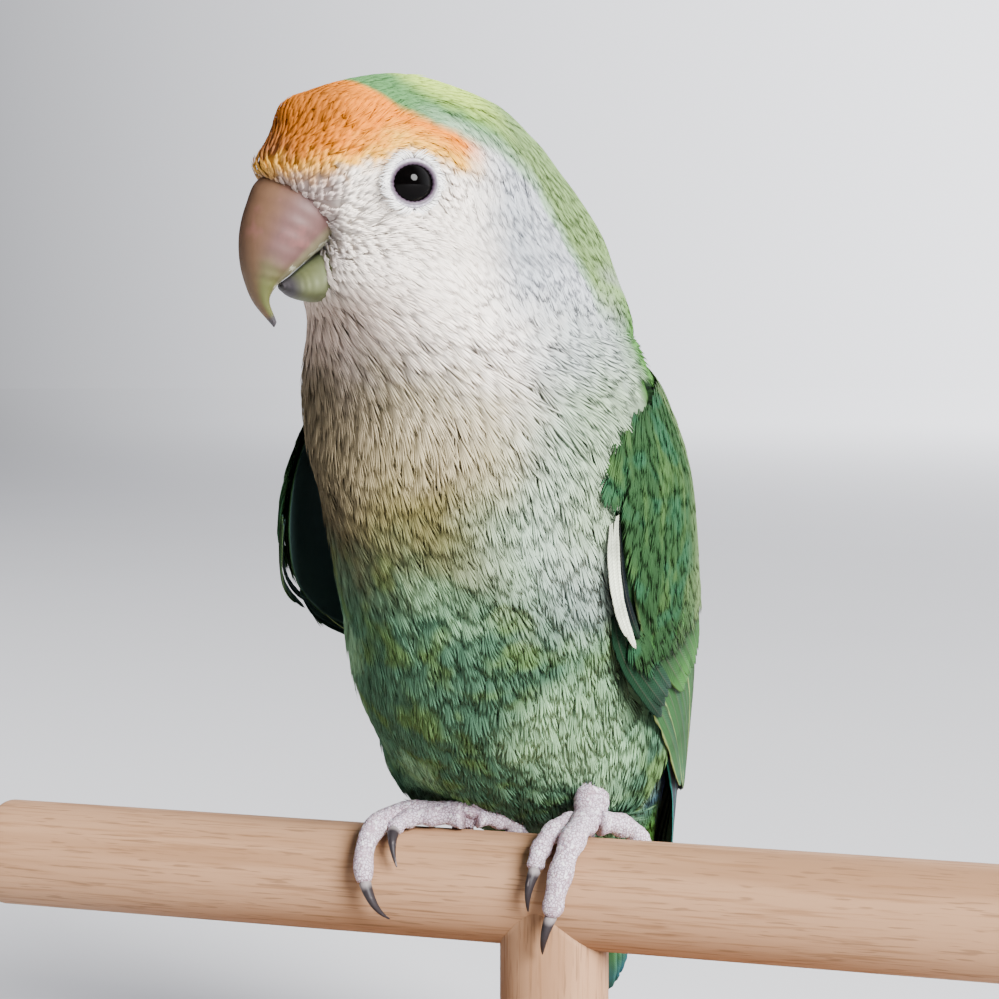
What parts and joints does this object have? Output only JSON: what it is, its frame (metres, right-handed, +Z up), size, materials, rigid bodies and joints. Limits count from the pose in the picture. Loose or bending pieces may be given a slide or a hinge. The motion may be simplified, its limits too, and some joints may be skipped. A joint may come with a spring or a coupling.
{
  "type": "peach-faced lovebird model on a perch stand",
  "caption": "Life-size still model of a small parrot gripping a short round wooden perch on a flat round base, head turned to its right, wings folded.",
  "frame": {"origin": "centre of the stand base's underside, on the floor", "axes": "+Z up; the bird's breast faces -Y and its own left is +X; the perch lies along X"},
  "size_m": [0.17, 0.116, 0.1479],
  "materials": {
    "feathers_head": "small soft feathers: orange brow, white face, green crown",
    "feathers_breast": "small soft feathers, pale peach-grey to olive",
    "feathers_body": "small soft feathers, soft green",
    "feathers_wing": "flight feathers, deep green with dark tips",
    "feathers_tail": "tail feathers, green with teal tips",
    "bill": "horn, pink turning yellow-green at the tip",
    "eye": "wet, nearly black",
    "foot": "scaly grey-pink skin",
    "claw": "dark grey-brown horn",
    "wood": "bare pale wood, sanded smooth"
  },
  "bodies": {
    "root": {"torso": "feathers_body", "neck": "feathers_breast", "head": "feathers_head", "bill_upper": "bill", "bill_lower": "bill", "eye_left": "eye", "eye_right": "eye", "wing_left": "feathers_wing", "wing_right": "feathers_wing", "tail": "feathers_tail", "leg_left": "feathers_body", "leg_right": "feathers_body", "foot_left": "foot", "foot_right": "foot", "claw_left_front_outer": "claw", "claw_left_front_inner": "claw", "claw_left_back_outer": "claw", "claw_left_back_inner": "claw", "claw_right_front_outer": "claw", "claw_right_front_inner": "claw", "claw_right_back_outer": "claw", "claw_right_back_inner": "claw", "perch": "wood", "stand_post": "wood", "stand_base": "wood"}
  },
  "joints": []
}
